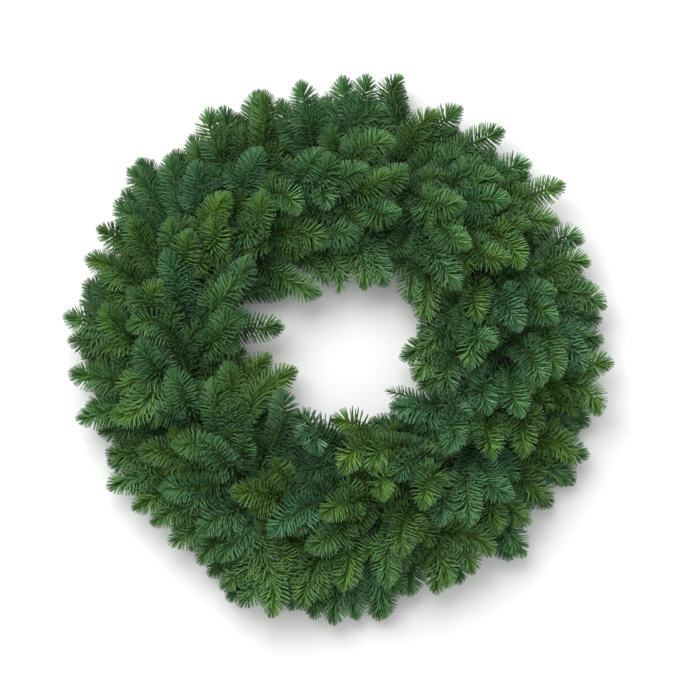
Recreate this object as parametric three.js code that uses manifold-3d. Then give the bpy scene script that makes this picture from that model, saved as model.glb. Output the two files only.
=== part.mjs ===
// A fresh evergreen wreath, laid down on its back: fir sprays held by bent wire clamps on a wire ring.
// Millimetres, +Z up. The origin is the centre of the ring, on the surface that the wreath rests on.
// Clock angles run clockwise from +Y, the top of the wreath, as seen from above. Every spray points clockwise.
import * as THREE from "three";
import { mergeVertices } from "three/addons/utils/BufferGeometryUtils.js";
import Module from "manifold-3d";

const { Vector2, Vector3, Matrix4, MathUtils } = THREE;
const wasm = await Module();
wasm.setup();

// --- Driving dimensions ---

const RING_RADIUS = 178; // centre line of a 14 inch wreath ring
const RING_WIRE = 4;
const RING_SIDES = 6;
const RING_STEPS = 42;
const CLAMP_WIRE = 3; // across the flats of its section
const CLAMP_CORNER = 4;
const CLAMP_MOUTH = 0.8; // between the two bent-over ends
const CLAMP_SLACK = 0.25; // for the stems' bend round the ring
const CLAMP_STEPS = 9;
const BUNCHES = 14; // one clamp holds three stems
const SEAT = 0.3; // between pieces that touch
const STEM_RADIUS = 3.2; // at the cut end
const TWIG_RADIUS = 1.4; // at the bud
const STEM_ASIDE = 0.5; // half the gap between the two lower stems in a clamp
const STEM_RISE = 4.8; // from the ring's wire to the lower stems
const CROWN_RISE = 6.2; // from the lower stems to the one that lies on them
const STEM_CLOCKS = [-9, -2]; // where a stem starts, and its next point, in degrees from its clamp
const FOOT_CLOCK = 2; // where it leaves the ring's line
const SIDES = 4; // of a twig's section
const LEADER_STEPS = 4;
const BRANCH_STEPS = 3;
const BRANCH_LENGTH = 100; // from its fork to its bud
const FORK_IN_STEP = 0.3; // a fork stands this far into one of the leader's steps
const FORK_STEPS = 3; // how many of its steps can hold one
const FORK_STEP_DOWN = 0.9; // how much thinner a branch is than its leader at the fork
const FORK_FOLLOW = 0.2; // how much a branch's foot still points along its leader
const BEND_START = 0.33; // handle of a twig's curve at its foot, as a share of its chord
const BEND_END = 0.36;
const NEEDLE_LENGTH = 24;
const NEEDLE_RADIUS = 0.8; // at its root, sunk in the twig
const NEEDLE_LEAN = 52; // degrees off the twig
const LEAFY_FROM = 0.36; // share of a shoot that is bare stem
const WHORL_OFF = 0.15; // how far a whorl stands from the joint of two steps, as a share of a step
const WHORL_TURN = 3; // sides from one whorl to the next
const BUD_NEEDLE = 12; // how far the needles stand past the bud
const BLUE_GREEN = 0x3a5c4c;
const YELLOW_GREEN = 0x4f6f2c;
const TABLE_GAP = 1.5;
const TWIG_GAP = 0.35;
const LIFT_STEP = 2.5;
const LIFT_TRIES = 21;
const FOOT_LIFT = 0.3; // share of a shoot's lift that its foot's handle takes
const LOWEST_BUD = 22;
const SEED = 7;
const SLIVER = 0.05; // edges that joining the twigs and needles leaves, shorter than this, are closed up

const BUNCH_CLOCK = 360 / BUNCHES;
const RING_Z = CLAMP_WIRE + SEAT + RING_WIRE / 2;
const STEM_OUT = STEM_RADIUS + STEM_ASIDE;
const STEM_Z = RING_Z + STEM_RISE;
const CROWN_STEM_Z = STEM_Z + CROWN_RISE;
const CLAMP_REACH = STEM_RADIUS + TWIG_GAP + CLAMP_SLACK + CLAMP_WIRE / 2;
const CLAMP_HALF = STEM_OUT + CLAMP_REACH; // both to the wire's centre line
const CLAMP_TOP = CROWN_STEM_Z + CLAMP_REACH;

// --- Where the shoots end ---
// Each row is one shoot: the clock angle of its tip, how far its needles reach from the centre, the clock heading of
// its last stretch, and its tone, from -2, blue green, to 2, yellow green.

const RIM_OVER = [
  [344, 300, 358, 1], [352, 301, 348, -1], [1, 304, 355, -1], [6, 307, 10, -1], [13, 313, 40, 0],
  [23, 286, 62, 1], [27, 302, 58, 0], [37, 307, 68, 0], [46, 298, 85, -1], [54, 311, 76, 1],
  [60, 283, 98, 1], [66, 299, 106, -1], [71, 296, 100, 1], [81, 301, 124, 0], [93, 306, 95, 1],
  [104, 299, 164, 1], [116, 290, 160, 2], [126, 288, 130, 1], [132, 288, 118, 1], [143, 286, 142, 1],
  [149, 291, 168, 1], [155, 291, 168, 1], [158, 293, 186, 2], [188, 291, 192, 1], [194, 306, 190, 1],
  [201, 305, 224, 0], [206, 296, 230, 0], [213, 283, 216, 0], [221, 286, 246, 0], [227, 284, 238, 0],
  [232, 289, 240, 1], [239, 299, 246, 0], [246, 282, 282, 1], [255, 300, 256, 0], [265, 300, 280, 0],
  [272, 300, 276, 1], [277, 307, 285, 0], [290, 298, 286, 1], [297, 300, 300, 1], [304, 297, 322, -1],
  [311, 308, 318, -1], [319, 287, 350, -1], [332, 304, 2, 0],
];
const RIM_UNDER = [
  [15, 286, 28, 1], [30, 278, 52, 0], [76, 294, 75, 0], [88, 296, 98, 0], [113, 304, 102, -1],
  [120, 299, 132, -1], [138, 311, 146, -1], [165, 282, 140, -1], [170, 304, 175, -1], [176, 302, 168, -1],
  [181, 307, 188, -1], [185, 302, 184, 0], [251, 283, 262, 0], [283, 290, 335, -1], [316, 280, 0, -1],
  [325, 282, 345, 0], [337, 286, 350, 1], [347, 287, 346, 0],
];
const CROWN = [
  [9, 202, 70, -1], [15, 237, 88, 0], [16, 204, 48, 1], [20, 216, 40, 0], [24, 167, 80, -1],
  [41, 213, 85, 0], [44, 261, 93, 0], [49, 251, 95, -1], [52, 184, 120, 0], [57, 252, 105, 0],
  [62, 214, 90, 1], [66, 221, 160, 1], [75, 249, 85, -1], [79, 158, 170, 1], [83, 243, 130, -1],
  [84, 201, 157, -2], [88, 174, 105, -1], [95, 274, 155, -2], [97, 246, 160, 0], [100, 227, 170, -1],
  [110, 215, 160, -1], [113, 180, 163, -2], [116, 164, 105, -2], [120, 236, 182, 1], [125, 208, 170, 1],
  [127, 171, 150, -1], [130, 252, 110, -2], [133, 165, 200, -2], [139, 271, 168, 1], [143, 243, 172, -1],
  [150, 224, 192, -2], [152, 198, 190, 1], [157, 156, 222, -2], [163, 239, 180, 1], [163, 173, 172, 1],
  [168, 269, 175, 0], [179, 267, 197, 1], [186, 185, 238, 1], [189, 221, 255, 0], [200, 218, 222, -2],
  [204, 280, 235, 1], [209, 269, 208, -1], [217, 256, 228, -1], [217, 196, 275, 2], [232, 249, 272, -1],
  [238, 180, 318, -1], [240, 209, 268, 0], [243, 247, 272, 1], [254, 261, 272, 1], [263, 186, 333, -1],
  [273, 218, 345, -1], [276, 233, 250, 0], [281, 264, 340, 1], [286, 240, 315, 0], [291, 209, 40, 1],
  [300, 219, 340, -2], [303, 272, 348, 1], [308, 234, 355, 0], [309, 209, 15, 1], [317, 203, 350, 1],
  [323, 261, 355, -2], [325, 209, 42, 2], [331, 170, 40, 0], [335, 193, 8, 1], [339, 238, 29, -2],
  [343, 156, 160, 0], [355, 222, 35, -1], [355, 155, 180, -1], [357, 216, 5, -1],
];
const INNER = [
  [342, 65, 110, 0], [353, 71, 145, 0], [0, 61, 190, 0], [23, 74, 185, 1], [37, 90, 150, -1],
  [58, 98, 175, 0], [72, 100, 190, 1], [97, 72, 250, 0], [111, 92, 215, 1], [115, 100, 250, 0],
  [132, 67, 285, -1], [137, 87, 275, -2], [185, 80, 270, 1], [216, 92, 285, -1], [235, 78, 350, -1],
  [244, 53, 65, 1], [265, 77, 50, 1], [292, 67, 90, 0], [292, 109, 60, -1], [10, 114, 125, -1],
  [11, 133, 85, -1], [55, 151, 135, -1], [63, 149, 145, -1], [98, 147, 188, 0], [111, 135, 160, -1],
  [164, 143, 185, 1], [177, 137, 196, 2], [190, 118, 160, -2], [203, 112, 220, -2], [247, 129, 2, -1],
  [257, 141, 358, 0], [263, 125, 345, 1], [291, 134, 4, 0], [308, 136, 38, 0], [316, 142, 20, -1],
  [355, 119, 115, 1],
];

// A kind of spray: its stem's place in the clamp, how far ahead of its clamp its tips are, and its layers of shoots,
// each with its rows, the height of its buds, how much that height wanders, and the slope of its last stretch.
const CROWN_TOP = 100;
const crownHeight = (reach) => CROWN_TOP - 30 * ((reach - 195) / 70) ** 2;
const KINDS = [
  {
    name: "outer_spray",
    stemOut: STEM_OUT,
    stemZ: STEM_Z,
    lead: 25,
    layers: [
      { rows: RIM_OVER, height: () => 48, wander: 16, slope: 3 },
      { rows: RIM_UNDER, height: () => 25, wander: 6, slope: -2 },
    ],
  },
  {
    name: "inner_spray",
    stemOut: -STEM_OUT,
    stemZ: STEM_Z,
    lead: 40,
    layers: [
      {
        rows: INNER,
        height: (reach) => (reach < 105 ? 40 : crownHeight(reach)),
        wander: 16,
        slope: -4,
      },
    ],
  },
  {
    name: "crown_spray",
    stemOut: 0,
    stemZ: CROWN_STEM_Z,
    lead: 33,
    layers: [{ rows: CROWN, height: crownHeight, wander: 16, slope: 12 }],
  },
];

// --- Places and directions ---

const onClock = (clock, radius, z) => {
  const a = MathUtils.degToRad(clock);
  return new Vector3(radius * Math.sin(a), radius * Math.cos(a), z);
};

const towards = (heading, slope) => {
  const rise = MathUtils.degToRad(slope);
  return onClock(heading, Math.cos(rise), Math.sin(rise));
};

let randomState = SEED;
function random() {
  randomState = (randomState * 1664525 + 1013904223) % 4294967296;
  return randomState / 4294967296;
}

// Least distance between the segments a-b and c-d.
function segmentGap(a, b, c, d) {
  const u = b.clone().sub(a);
  const v = d.clone().sub(c);
  const w = a.clone().sub(c);
  const uu = u.dot(u);
  const vv = v.dot(v);
  const uv = u.dot(v);
  const uw = u.dot(w);
  const vw = v.dot(w);
  const crossed = uu * vv - uv * uv;
  const limit = (x) => Math.min(1, Math.max(0, x));
  let s = crossed > 1e-9 ? limit((uv * vw - vv * uw) / crossed) : 0;
  let t = (uv * s + vw) / vv;
  if (t < 0 || t > 1) {
    t = limit(t);
    s = limit((uv * t - uw) / uu);
  }
  return w.addScaledVector(u, s).addScaledVector(v, -t).length();
}

// --- What is already in the way ---
// A rod is a chain of points with one radius at each; its box saves most of the measuring.

const rods = [];

function rodBox(points, margin) {
  return new THREE.Box3().setFromPoints(points).expandByScalar(margin);
}

function addRod(node, points, radii) {
  rods.push({ node, points, radii, box: rodBox(points, Math.max(...radii)) });
}

function isClear(node, points, radii, gap) {
  const box = rodBox(points, Math.max(...radii) + gap);
  for (const rod of rods) {
    if (rod.node === node || !rod.box.intersectsBox(box)) continue;
    for (let i = 0; i + 1 < points.length; i += 1) {
      for (let j = 0; j + 1 < rod.points.length; j += 1) {
        const need = Math.max(radii[i], radii[i + 1]) + Math.max(rod.radii[j], rod.radii[j + 1]) + gap;
        if (segmentGap(points[i], points[i + 1], rod.points[j], rod.points[j + 1]) < need) return false;
      }
    }
  }
  return true;
}

// --- Solids ---

function toSolid(geometry) {
  geometry.deleteAttribute("normal");
  geometry.deleteAttribute("uv");
  const merged = mergeVertices(geometry, 1e-5);
  const triVerts = new Uint32Array(merged.index.array);
  return new wasm.Manifold(
    new wasm.Mesh({ numProp: 3, vertProperties: merged.attributes.position.array, triVerts }),
  );
}

function toGeometry(solid) {
  const mesh = solid.getMesh();
  return new THREE.BufferGeometry()
    .setAttribute("position", new THREE.BufferAttribute(mesh.vertProperties, 3))
    .setIndex(new THREE.BufferAttribute(mesh.triVerts, 1));
}

// Right, forward and up at each point of a chain.
function framesAlong(points) {
  return points.map((point, i) => {
    const before = points[Math.max(i - 1, 0)];
    const after = points[Math.min(i + 1, points.length - 1)];
    const forward = after.clone().sub(before).normalize();
    const right = forward.clone().cross(new Vector3(0, 0, 1)).normalize();
    return { right, forward, up: right.clone().cross(forward) };
  });
}

// A twig is a slim turned shape, one ring for each point, bent along the chain. It ends in a needle past its bud.
function twigSolid(points, radii) {
  const frames = framesAlong(points);
  const end = points[points.length - 1].clone().addScaledVector(frames[frames.length - 1].forward, BUD_NEEDLE);
  const profile = [new Vector2(0, 0), ...radii.map((radius, i) => new Vector2(radius, i)), new Vector2(0, radii.length)];
  const geometry = new THREE.LatheGeometry(profile, SIDES);
  const position = geometry.attributes.position;
  for (let v = 0; v < position.count; v += 1) {
    const ring = Math.round(position.getY(v));
    const { right, up } = frames[Math.min(ring, frames.length - 1)];
    const centre = ring < points.length ? points[ring] : end;
    const place = centre.clone().addScaledVector(right, position.getX(v)).addScaledVector(up, position.getZ(v));
    position.setXYZ(v, place.x, place.y, place.z);
  }
  return toSolid(geometry);
}

function needleSolid(root, direction, length) {
  const geometry = new THREE.ConeGeometry(NEEDLE_RADIUS, length, 3, 1).translate(0, length / 2, 0);
  const side = direction.clone().cross(new Vector3(0, 0, 1)).normalize();
  const basis = new Matrix4().makeBasis(side, direction, side.clone().cross(direction));
  return toSolid(geometry.applyMatrix4(basis.setPosition(root)));
}

// --- Ring and clamps ---

const wreath = new THREE.Group();
const wireMaterial = new THREE.MeshStandardMaterial({ color: 0x2c4632, roughness: 0.45, metalness: 0.3 });

function addMesh(name, geometry, material) {
  const mesh = new THREE.Mesh(geometry, material);
  mesh.name = name;
  wreath.add(mesh);
  return mesh;
}

function makeRing() {
  const geometry = new THREE.TorusGeometry(RING_RADIUS, RING_WIRE / 2, RING_SIDES, RING_STEPS);
  addMesh("wire_ring", geometry, wireMaterial).position.z = RING_Z;
  const points = [];
  for (let i = 0; i <= RING_STEPS; i += 1) {
    points.push(onClock(90 - (360 * i) / RING_STEPS, RING_RADIUS, RING_Z));
  }
  addRod("wire_ring", points, points.map(() => RING_WIRE / 2));
}

// The clamp's wire in its own plane, x outwards and z up: over the stems, down, under the ring, up and over again.
function clampPath() {
  const low = CLAMP_WIRE / 2;
  const path = new THREE.CurvePath();
  const corner = (x, z, a, b) => {
    const mid = new Vector3(x, 0, z);
    path.add(new THREE.QuadraticBezierCurve3(a, mid, b));
  };
  const at = (x, z) => new Vector3(x, 0, z);
  const stops = [
    at(-CLAMP_MOUTH / 2, CLAMP_TOP),
    at(-CLAMP_HALF + CLAMP_CORNER, CLAMP_TOP),
    at(-CLAMP_HALF, CLAMP_TOP - CLAMP_CORNER),
    at(-CLAMP_HALF, low + CLAMP_CORNER),
    at(-CLAMP_HALF + CLAMP_CORNER, low),
  ];
  const mirrored = stops.map((p) => at(-p.x, p.z)).reverse();
  const all = [...stops, ...mirrored];
  for (let i = 0; i + 1 < all.length; i += 1) {
    const a = all[i];
    const b = all[i + 1];
    if (a.x === b.x || a.z === b.z) path.add(new THREE.LineCurve3(a, b));
    else corner(Math.sign(a.x) * CLAMP_HALF, a.z > CLAMP_TOP / 2 ? CLAMP_TOP : low, a, b);
  }
  return path;
}

function makeClamps() {
  const path = clampPath();
  const section = new THREE.Shape(
    [30, 90, 150, 210, 270, 330].map((degrees) => {
      const a = MathUtils.degToRad(degrees);
      return new Vector2(Math.cos(a), Math.sin(a)).multiplyScalar(CLAMP_WIRE / 2 / Math.cos(Math.PI / 6));
    }),
  );
  const geometry = new THREE.ExtrudeGeometry(section, { extrudePath: path, steps: CLAMP_STEPS });
  const chain = path.getSpacedPoints(CLAMP_STEPS);
  for (let bunch = 0; bunch < BUNCHES; bunch += 1) {
    const name = "clamp_" + String(bunch + 1).padStart(2, "0");
    const clamp = addMesh(name, geometry, wireMaterial);
    const clock = bunch * BUNCH_CLOCK;
    clamp.position.copy(onClock(clock, RING_RADIUS, 0));
    clamp.rotation.z = MathUtils.degToRad(90 - clock);
    clamp.updateMatrix();
    const points = chain.map((p) => p.clone().applyMatrix4(clamp.matrix));
    addRod(name, points, points.map(() => CLAMP_WIRE / 2));
  }
}

// --- Sprays ---

function curveTo(foot, footDirection, bud, budDirection, lift) {
  const end = bud.clone();
  end.z += lift;
  const chord = end.distanceTo(foot);
  const start = foot.clone().addScaledVector(footDirection, chord * BEND_START);
  start.z += lift * FOOT_LIFT;
  return new THREE.CubicBezierCurve3(foot, start, end.clone().addScaledVector(budDirection, -chord * BEND_END), end);
}

const taper = (from, count) => {
  const radii = [];
  for (let i = 0; i <= count; i += 1) radii.push(MathUtils.lerp(from, TWIG_RADIUS, i / count));
  return radii;
};

// Place and direction at a share of the bent part of a shoot's chain.
function onChain(points, steps, share) {
  const bent = points.slice(-steps - 1);
  const i = Math.floor(share * steps);
  const forward = bent[i + 1].clone().sub(bent[i]);
  return { root: bent[i].clone().addScaledVector(forward, share * steps - i), forward: forward.normalize() };
}

// Lays one shoot as near its own height as what is already there lets it. Gives null where there is no room.
function layShoot(node, shoot, foot, footDirection, before, footRadius, steps) {
  const radii = [...before.map(() => footRadius), ...taper(footRadius, steps)];
  for (let i = 0; i < LIFT_TRIES; i += 1) {
    const lift = LIFT_STEP * Math.ceil(i / 2) * (i % 2 ? 1 : -1);
    if (shoot.bud.z + lift < LOWEST_BUD) continue;
    const curve = curveTo(foot, footDirection, shoot.bud, shoot.direction, lift);
    const points = [...before, ...curve.getPoints(steps)];
    if (isClear(node, points, radii, TWIG_GAP)) {
      addRod(node, points, radii);
      return { ...shoot, curve, points, radii, steps };
    }
  }
  return null;
}

function planShoots(kind) {
  const plans = Array.from({ length: BUNCHES }, () => []);
  for (const { rows, height, wander, slope } of kind.layers) {
    for (const [clock, reach, heading, tone] of rows) {
      const ahead = (clock - kind.lead + 360) % 360;
      const direction = towards(heading, slope);
      const bud = onClock(clock, reach, height(reach) + wander * (random() - 0.5));
      bud.addScaledVector(direction, -BUD_NEEDLE);
      plans[Math.floor(ahead / BUNCH_CLOCK + 0.5) % BUNCHES].push({ clock, bud, direction, tone });
    }
  }
  return plans;
}

// Lays a branch on its leader, from the fork where it would be nearest to its usual length, or from the next best.
function layBranch(node, shoot, leader) {
  const shares = Array.from({ length: FORK_STEPS }, (_, i) => (i + FORK_IN_STEP) / LEADER_STEPS);
  const miss = (share) => Math.abs(leader.curve.getPoint(share).distanceTo(shoot.bud) - BRANCH_LENGTH);
  for (const share of shares.sort((a, b) => miss(a) - miss(b))) {
    const fork = onChain(leader.points, LEADER_STEPS, share).root;
    const along = shoot.bud.clone().sub(fork).normalize();
    const footDirection = along.addScaledVector(leader.curve.getTangent(share), FORK_FOLLOW).normalize();
    const footRadius = MathUtils.lerp(STEM_RADIUS, TWIG_RADIUS, share) - FORK_STEP_DOWN;
    const branch = layShoot(node, shoot, fork, footDirection, [], footRadius, BRANCH_STEPS);
    if (branch) return branch;
  }
  throw new Error("no room for the shoot at " + shoot.clock + " in " + node);
}

const sprayName = (kind, bunch) => kind.name + "_" + String(bunch + 1).padStart(2, "0");

// The stretch of a stem that follows the ring under its clamp, from the cut end to its foot.
function stemOf(kind, bunch) {
  return [...STEM_CLOCKS, FOOT_CLOCK].map((ahead) =>
    onClock(bunch * BUNCH_CLOCK + ahead, RING_RADIUS + kind.stemOut, kind.stemZ),
  );
}

function laySpray(kind, bunch, plan) {
  const node = sprayName(kind, bunch);
  const stem = stemOf(kind, bunch);
  const foot = stem.pop();
  const [main, ...others] = [...plan].sort((a, b) => b.bud.distanceTo(foot) - a.bud.distanceTo(foot));
  const footDirection = towards(bunch * BUNCH_CLOCK + FOOT_CLOCK + 90, 0);
  const leader = layShoot(node, main, foot, footDirection, stem, STEM_RADIUS, LEADER_STEPS);
  return { node, shoots: [leader, ...others.map((shoot) => layBranch(node, shoot, leader))] };
}

// Every stem is in its clamp before the first shoot is laid.
function laySprays() {
  const plans = KINDS.map(planShoots);
  for (const kind of KINDS) {
    for (let bunch = 0; bunch < BUNCHES; bunch += 1) {
      const stem = stemOf(kind, bunch);
      addRod(sprayName(kind, bunch), stem, stem.map(() => STEM_RADIUS));
    }
  }
  const sprays = [];
  for (let bunch = 0; bunch < BUNCHES; bunch += 1) {
    KINDS.forEach((kind, i) => sprays.push(laySpray(kind, bunch, plans[i][bunch])));
  }
  return sprays;
}

// --- Needles ---

// One needle, on the first side of the twig where it meets no other piece and stays off the surface below.
function needleAt(node, root, forward, side) {
  const right = forward.clone().cross(new Vector3(0, 0, 1)).normalize();
  const up = right.clone().cross(forward);
  const lean = MathUtils.degToRad(NEEDLE_LEAN);
  const radii = [NEEDLE_RADIUS, NEEDLE_RADIUS];
  for (let i = 0; i < SIDES; i += 1) {
    const around = (2 * Math.PI * (side + i + 0.5)) / SIDES;
    const outwards = right.clone().multiplyScalar(Math.sin(around)).addScaledVector(up, Math.cos(around));
    const direction = forward.clone().multiplyScalar(Math.cos(lean)).addScaledVector(outwards, Math.sin(lean));
    const tip = root.clone().addScaledVector(direction, NEEDLE_LENGTH);
    if (tip.z > TABLE_GAP + NEEDLE_RADIUS && isClear(node, [root, tip], radii, TWIG_GAP)) {
      addRod(node, [root, tip], radii);
      return needleSolid(root, direction, NEEDLE_LENGTH);
    }
  }
  return null;
}

// Whorls of one needle, and of two at the end, before and after each joint of the twig.
function needlesOn(node, { points, steps }) {
  const solids = [];
  let whorl = 0;
  for (let joint = 1; joint <= steps; joint += 1) {
    for (const off of joint < steps ? [-WHORL_OFF, WHORL_OFF] : [-WHORL_OFF]) {
      const share = (joint + off) / steps;
      if (share < LEAFY_FROM) continue;
      const { root, forward } = onChain(points, steps, share);
      for (const side of joint === steps ? [0, 2] : [0]) {
        solids.push(needleAt(node, root, forward, side + WHORL_TURN * whorl));
      }
      whorl += 1;
    }
  }
  return solids.filter((solid) => solid !== null);
}

const toneColour = (tone) => new THREE.Color(BLUE_GREEN).lerp(new THREE.Color(YELLOW_GREEN), (tone + 2) / 4);

function makeSpray({ node, shoots }) {
  const twigs = shoots.map(({ points, radii }) => twigSolid(points, radii));
  const needles = shoots.flatMap((shoot) => needlesOn(node, shoot));
  const tone = shoots.reduce((sum, shoot) => sum + shoot.tone, 0) / shoots.length;
  const material = new THREE.MeshStandardMaterial({ color: toneColour(tone), roughness: 0.6 });
  const spray = [...twigs, ...needles].reduce((whole, solid) => whole.add(solid));
  addMesh(node, toGeometry(spray.asOriginal().simplify(SLIVER)), material);
}

makeRing();
makeClamps();
laySprays().forEach(makeSpray);

export default wreath;
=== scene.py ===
"""A fresh evergreen wreath: fir sprays with all their needles, bark and buds, on a clamped wire ring.

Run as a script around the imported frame. The sprays follow the same laying rule as the solids that they dress, so every
twig here lies where its solid does. The rule works in millimetres, as the part does; meshes are in metres.
"""

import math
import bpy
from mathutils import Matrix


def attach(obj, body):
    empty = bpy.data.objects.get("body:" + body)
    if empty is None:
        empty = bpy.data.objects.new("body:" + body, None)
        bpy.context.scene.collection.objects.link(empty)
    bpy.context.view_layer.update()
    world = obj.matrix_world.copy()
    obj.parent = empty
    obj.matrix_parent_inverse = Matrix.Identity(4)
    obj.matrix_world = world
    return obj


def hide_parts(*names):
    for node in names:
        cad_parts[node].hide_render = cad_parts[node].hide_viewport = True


bl_info = {
    "name": "Fresh Evergreen Wreath",
    "version": (1, 0, 0),
    "blender": (4, 5, 0),
    "location": "3D View > Sidebar > Wreath",
    "description": "Dresses a wreath's ring, clamps and sprays, and sets its stage",
    "category": "Add Mesh",
}

import bpy
import numpy as np
from bpy.props import FloatProperty, FloatVectorProperty, IntProperty, PointerProperty
from bpy.types import Operator, Panel, PropertyGroup

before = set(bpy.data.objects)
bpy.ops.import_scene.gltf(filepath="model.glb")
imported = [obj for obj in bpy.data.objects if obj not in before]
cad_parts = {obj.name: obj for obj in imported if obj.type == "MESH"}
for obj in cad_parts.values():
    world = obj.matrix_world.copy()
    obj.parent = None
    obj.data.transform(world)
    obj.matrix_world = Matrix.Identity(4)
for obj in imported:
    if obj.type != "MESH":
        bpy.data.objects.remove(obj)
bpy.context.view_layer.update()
MM = 0.001

# === The wreath's plan, in millimetres and degrees. Clock angles run clockwise from +Y, seen from above. ===

RING_RADIUS = 178.0
RING_WIRE = 4.0
RING_STEPS = 42
CLAMP_WIRE = 3.0
CLAMP_CORNER = 4.0
CLAMP_MOUTH = 0.8
CLAMP_SLACK = 0.25
CLAMP_STEPS = 9
CLAMP_FINE = 65  # points along each stretch of a clamp, to measure it by
BUNCHES = 14
SEAT = 0.3
STEM_RADIUS = 3.2
TWIG_RADIUS = 1.4
STEM_ASIDE = 0.5
STEM_RISE = 4.8
CROWN_RISE = 6.2
STEM_CLOCKS = (-9, -2)
FOOT_CLOCK = 2
LEADER_STEPS = 4
BRANCH_STEPS = 3
BRANCH_LENGTH = 100.0
FORK_IN_STEP = 0.3
FORK_STEPS = 3
FORK_STEP_DOWN = 0.9
FORK_FOLLOW = 0.2
BEND_START = 0.33
BEND_END = 0.36
BUD_NEEDLE = 12.0
TWIG_GAP = 0.35
LIFT_STEP = 2.5
LIFT_TRIES = 21
FOOT_LIFT = 0.3
PARALLEL = 1e-9
LOWEST_BUD = 22.0
SEED = 7
DRAW_FACTOR, DRAW_STEP, DRAW_RANGE = 1664525, 1013904223, 2**32

BUNCH_CLOCK = 360 / BUNCHES
RING_Z = CLAMP_WIRE + SEAT + RING_WIRE / 2
STEM_OUT = STEM_RADIUS + STEM_ASIDE
STEM_Z = RING_Z + STEM_RISE
CROWN_STEM_Z = STEM_Z + CROWN_RISE
CLAMP_REACH = STEM_RADIUS + TWIG_GAP + CLAMP_SLACK + CLAMP_WIRE / 2
CLAMP_HALF = STEM_OUT + CLAMP_REACH
CLAMP_TOP = CROWN_STEM_Z + CLAMP_REACH

# One row for each shoot: the clock angle of its tip, how far it reaches from the centre, the clock heading of its last
# stretch, and its tone, from -2, blue green, to 2, yellow green.
RIM_OVER = (
    (344, 300, 358, 1), (352, 301, 348, -1), (1, 304, 355, -1), (6, 307, 10, -1), (13, 313, 40, 0),
    (23, 286, 62, 1), (27, 302, 58, 0), (37, 307, 68, 0), (46, 298, 85, -1), (54, 311, 76, 1),
    (60, 283, 98, 1), (66, 299, 106, -1), (71, 296, 100, 1), (81, 301, 124, 0), (93, 306, 95, 1),
    (104, 299, 164, 1), (116, 290, 160, 2), (126, 288, 130, 1), (132, 288, 118, 1), (143, 286, 142, 1),
    (149, 291, 168, 1), (155, 291, 168, 1), (158, 293, 186, 2), (188, 291, 192, 1), (194, 306, 190, 1),
    (201, 305, 224, 0), (206, 296, 230, 0), (213, 283, 216, 0), (221, 286, 246, 0), (227, 284, 238, 0),
    (232, 289, 240, 1), (239, 299, 246, 0), (246, 282, 282, 1), (255, 300, 256, 0), (265, 300, 280, 0),
    (272, 300, 276, 1), (277, 307, 285, 0), (290, 298, 286, 1), (297, 300, 300, 1), (304, 297, 322, -1),
    (311, 308, 318, -1), (319, 287, 350, -1), (332, 304, 2, 0),
)
RIM_UNDER = (
    (15, 286, 28, 1), (30, 278, 52, 0), (76, 294, 75, 0), (88, 296, 98, 0), (113, 304, 102, -1),
    (120, 299, 132, -1), (138, 311, 146, -1), (165, 282, 140, -1), (170, 304, 175, -1), (176, 302, 168, -1),
    (181, 307, 188, -1), (185, 302, 184, 0), (251, 283, 262, 0), (283, 290, 335, -1), (316, 280, 0, -1),
    (325, 282, 345, 0), (337, 286, 350, 1), (347, 287, 346, 0),
)
CROWN = (
    (9, 202, 70, -1), (15, 237, 88, 0), (16, 204, 48, 1), (20, 216, 40, 0), (24, 167, 80, -1),
    (41, 213, 85, 0), (44, 261, 93, 0), (49, 251, 95, -1), (52, 184, 120, 0), (57, 252, 105, 0),
    (62, 214, 90, 1), (66, 221, 160, 1), (75, 249, 85, -1), (79, 158, 170, 1), (83, 243, 130, -1),
    (84, 201, 157, -2), (88, 174, 105, -1), (95, 274, 155, -2), (97, 246, 160, 0), (100, 227, 170, -1),
    (110, 215, 160, -1), (113, 180, 163, -2), (116, 164, 105, -2), (120, 236, 182, 1), (125, 208, 170, 1),
    (127, 171, 150, -1), (130, 252, 110, -2), (133, 165, 200, -2), (139, 271, 168, 1), (143, 243, 172, -1),
    (150, 224, 192, -2), (152, 198, 190, 1), (157, 156, 222, -2), (163, 239, 180, 1), (163, 173, 172, 1),
    (168, 269, 175, 0), (179, 267, 197, 1), (186, 185, 238, 1), (189, 221, 255, 0), (200, 218, 222, -2),
    (204, 280, 235, 1), (209, 269, 208, -1), (217, 256, 228, -1), (217, 196, 275, 2), (232, 249, 272, -1),
    (238, 180, 318, -1), (240, 209, 268, 0), (243, 247, 272, 1), (254, 261, 272, 1), (263, 186, 333, -1),
    (273, 218, 345, -1), (276, 233, 250, 0), (281, 264, 340, 1), (286, 240, 315, 0), (291, 209, 40, 1),
    (300, 219, 340, -2), (303, 272, 348, 1), (308, 234, 355, 0), (309, 209, 15, 1), (317, 203, 350, 1),
    (323, 261, 355, -2), (325, 209, 42, 2), (331, 170, 40, 0), (335, 193, 8, 1), (339, 238, 29, -2),
    (343, 156, 160, 0), (355, 222, 35, -1), (355, 155, 180, -1), (357, 216, 5, -1),
)
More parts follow.
